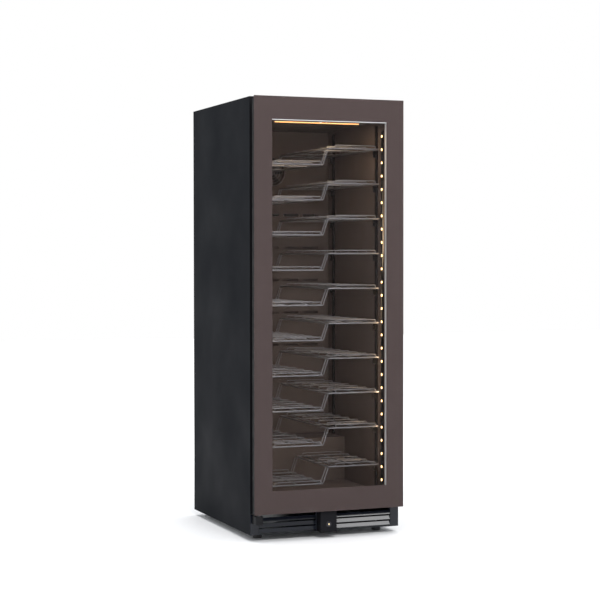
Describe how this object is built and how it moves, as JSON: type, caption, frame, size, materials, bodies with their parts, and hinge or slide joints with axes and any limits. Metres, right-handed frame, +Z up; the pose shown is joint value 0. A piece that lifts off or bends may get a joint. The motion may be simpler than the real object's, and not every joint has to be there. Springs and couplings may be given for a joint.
{
  "type": "wine cooler",
  "caption": "Tall free-standing wine cooler with a full-face tinted glass door hinged on the left, stepped wire racks, side lights and a louvred plinth with a lock.",
  "frame": {"origin": "centre of the overall box at floor level, under the feet", "axes": "+Z up; the door faces -Y; +X to the right of a person facing the door; the door is hung at -X"},
  "size_m": [0.595, 0.72, 1.625],
  "materials": {
    "casing_paint": "matte fine-textured powder coat, blue-black",
    "galvanised_sheet": "plain galvanised sheet",
    "foam": "rigid foam",
    "liner_black": "satin black",
    "trim_black": "matte black",
    "plinth_black": "satin black, slightly scuffed",
    "door_glass_tint": "clear pane with a warm grey tint",
    "border_print": "opaque brown-grey print seen through glass",
    "clear_glass": "clear coated pane",
    "spacer_metal": "satin",
    "seal_rubber": "soft matte black",
    "zinc_steel": "zinc plated",
    "bracket_black": "black powder coat",
    "bush_plastic": "natural acetal",
    "lock_chrome": "polished",
    "rack_wire": "dark chrome wire",
    "led_channel": "black anodised",
    "lamp_warm": "warm white lamp",
    "panel_gloss": "gloss black touch panel",
    "coil_aluminium": "bare fins",
    "fan_black": "moulded black",
    "compressor_black": "black enamel",
    "grommet_rubber": "moulded rubber",
    "tray_plastic": "natural white",
    "copper_pipe": "drawn copper, dulled",
    "control_plastic": "dark grey moulded",
    "foot_black": "moulded black"
  },
  "bodies": {
    "cabinet": {"side_panel_left": "casing_paint", "side_panel_right": "casing_paint", "top_panel": "casing_paint", "back_panel": "galvanised_sheet", "base_pan": "galvanised_sheet", "bay_partition": "galvanised_sheet", "rear_grille": "casing_paint", "insulation": "foam", "liner": "liner_black", "front_trim": "trim_black", "plinth_grille_left": "plinth_black", "plinth_grille_right": "plinth_black", "lock_block": "plinth_black", "lock_escutcheon": "lock_chrome", "hinge_bracket_bottom": "bracket_black", "hinge_bracket_top": "bracket_black", "hinge_pins": "zinc_steel", "rack_posts": "bracket_black", "led_channels": "led_channel", "led_chips": "lamp_warm", "ceiling_console": "liner_black", "ceiling_light": "lamp_warm", "control_panel": "panel_gloss", "air_duct_panel": "liner_black", "evaporator": "coil_aluminium", "compressor": "compressor_black", "compressor_mounts": "grommet_rubber", "condenser": "coil_aluminium", "condenser_fan_frame": "fan_black", "drip_tray": "tray_plastic", "refrigerant_pipes": "copper_pipe", "control_box": "control_plastic", "mains_inlet": "fan_black", "screws": "zinc_steel", "rack_01": "rack_wire", "rack_02": "rack_wire", "rack_03": "rack_wire", "rack_04": "rack_wire", "rack_05": "rack_wire", "rack_06": "rack_wire", "rack_07": "rack_wire", "rack_08": "rack_wire", "rack_09": "rack_wire", "rack_10": "rack_wire"},
    "door": {"door_glass": "door_glass_tint", "door_border": "border_print", "door_frame": "trim_black", "door_spacer": "spacer_metal", "door_inner_glass": "clear_glass", "door_inner_trim": "trim_black", "door_gasket": "seal_rubber", "hinge_bushes": "bush_plastic"},
    "lock_barrel": {"lock_barrel": "lock_chrome"},
    "lock_bolt": {"lock_bolt": "zinc_steel"},
    "evaporator_fan": {"evaporator_fan": "fan_black"},
    "condenser_fan": {"condenser_fan": "fan_black"},
    "foot_front_left": {"foot_front_left": "foot_black"},
    "foot_front_right": {"foot_front_right": "foot_black"},
    "foot_rear_left": {"foot_rear_left": "foot_black"},
    "foot_rear_right": {"foot_rear_right": "foot_black"}
  },
  "joints": [
    {"name": "door_hinge", "type": "hinge", "parent": "cabinet", "child": "door", "pos_m": [-0.275, -0.343, 0.8], "axis": [0, 0, -1], "range_deg": [0, 105]},
    {"name": "lock_turn", "type": "hinge", "parent": "cabinet", "child": "lock_barrel", "pos_m": [0, -0.34, 0.052], "axis": [0, -1, 0], "range_deg": [0, 90]},
    {"name": "lock_bolt_slide", "type": "slide", "parent": "cabinet", "child": "lock_bolt", "axis": [0, 0, 1], "range_m": [0, 0.0121]},
    {"name": "evaporator_fan_spin", "type": "hinge", "parent": "cabinet", "child": "evaporator_fan", "pos_m": [0, 0.28, 1.384], "axis": [0, -1, 0], "continuous": true},
    {"name": "condenser_fan_spin", "type": "hinge", "parent": "cabinet", "child": "condenser_fan", "pos_m": [0.095, 0.21, 0.155], "axis": [0, -1, 0], "continuous": true},
    {"name": "foot_front_left_turn", "type": "hinge", "parent": "cabinet", "child": "foot_front_left", "pos_m": [-0.241, -0.23, 0.02], "axis": [0, 0, 1], "continuous": true},
    {"name": "foot_front_right_turn", "type": "hinge", "parent": "cabinet", "child": "foot_front_right", "pos_m": [0.241, -0.23, 0.02], "axis": [0, 0, 1], "continuous": true},
    {"name": "foot_rear_left_turn", "type": "hinge", "parent": "cabinet", "child": "foot_rear_left", "pos_m": [-0.241, 0.268, 0.02], "axis": [0, 0, 1], "continuous": true},
    {"name": "foot_rear_right_turn", "type": "hinge", "parent": "cabinet", "child": "foot_rear_right", "pos_m": [0.241, 0.268, 0.02], "axis": [0, 0, 1], "continuous": true}
  ],
  "couplings": [
    {"joint": "lock_bolt_slide", "follows": "lock_turn", "m_per_rad": 0.00765}
  ]
}
